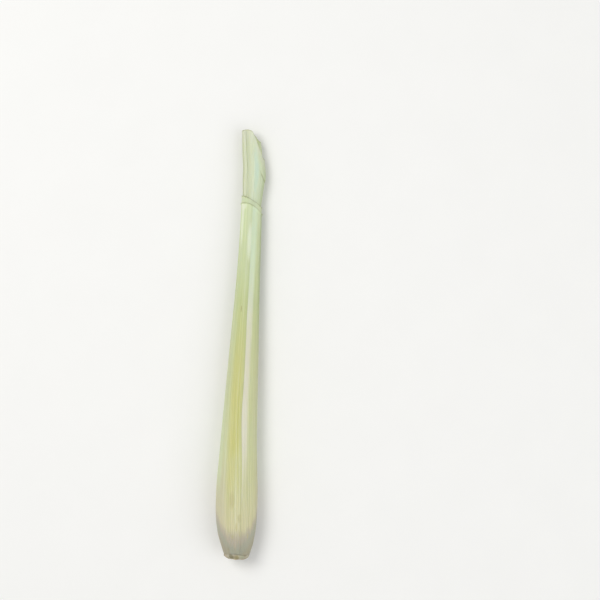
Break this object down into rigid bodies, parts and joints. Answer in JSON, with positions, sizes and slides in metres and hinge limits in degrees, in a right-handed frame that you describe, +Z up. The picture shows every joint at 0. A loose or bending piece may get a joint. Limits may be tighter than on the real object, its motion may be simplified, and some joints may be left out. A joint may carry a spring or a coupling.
{
  "type": "lemongrass stalk",
  "caption": "Trimmed lemongrass stalk lying on its side: swollen pale bulb, rolled leaf sheaths with overlapping margins, oblique green cut end.",
  "frame": {"origin": "bottom centre of the stalk's bounding box, on the surface it lies on", "axes": "+X along the stalk from the root cut to the green cut end, +Z up, the outer sheath's free margin on the upper face"},
  "size_m": [0.22, 0.0222, 0.0188],
  "materials": {
    "stem": "dry fibrous cut stem",
    "sheath_bulb": "satin fresh leaf sheath, cream bulb running to pale green",
    "sheath_green": "satin green leaf sheath with a waxy bloom",
    "sheath_inner": "satin pale green inner sheath",
    "heart": "moist pale cut leaf roll"
  },
  "bodies": {
    "root": {"stem_base": "stem", "sheath_outer": "sheath_bulb", "sheath_second": "sheath_green", "sheath_third": "sheath_inner", "heart_roll": "heart"}
  },
  "joints": []
}
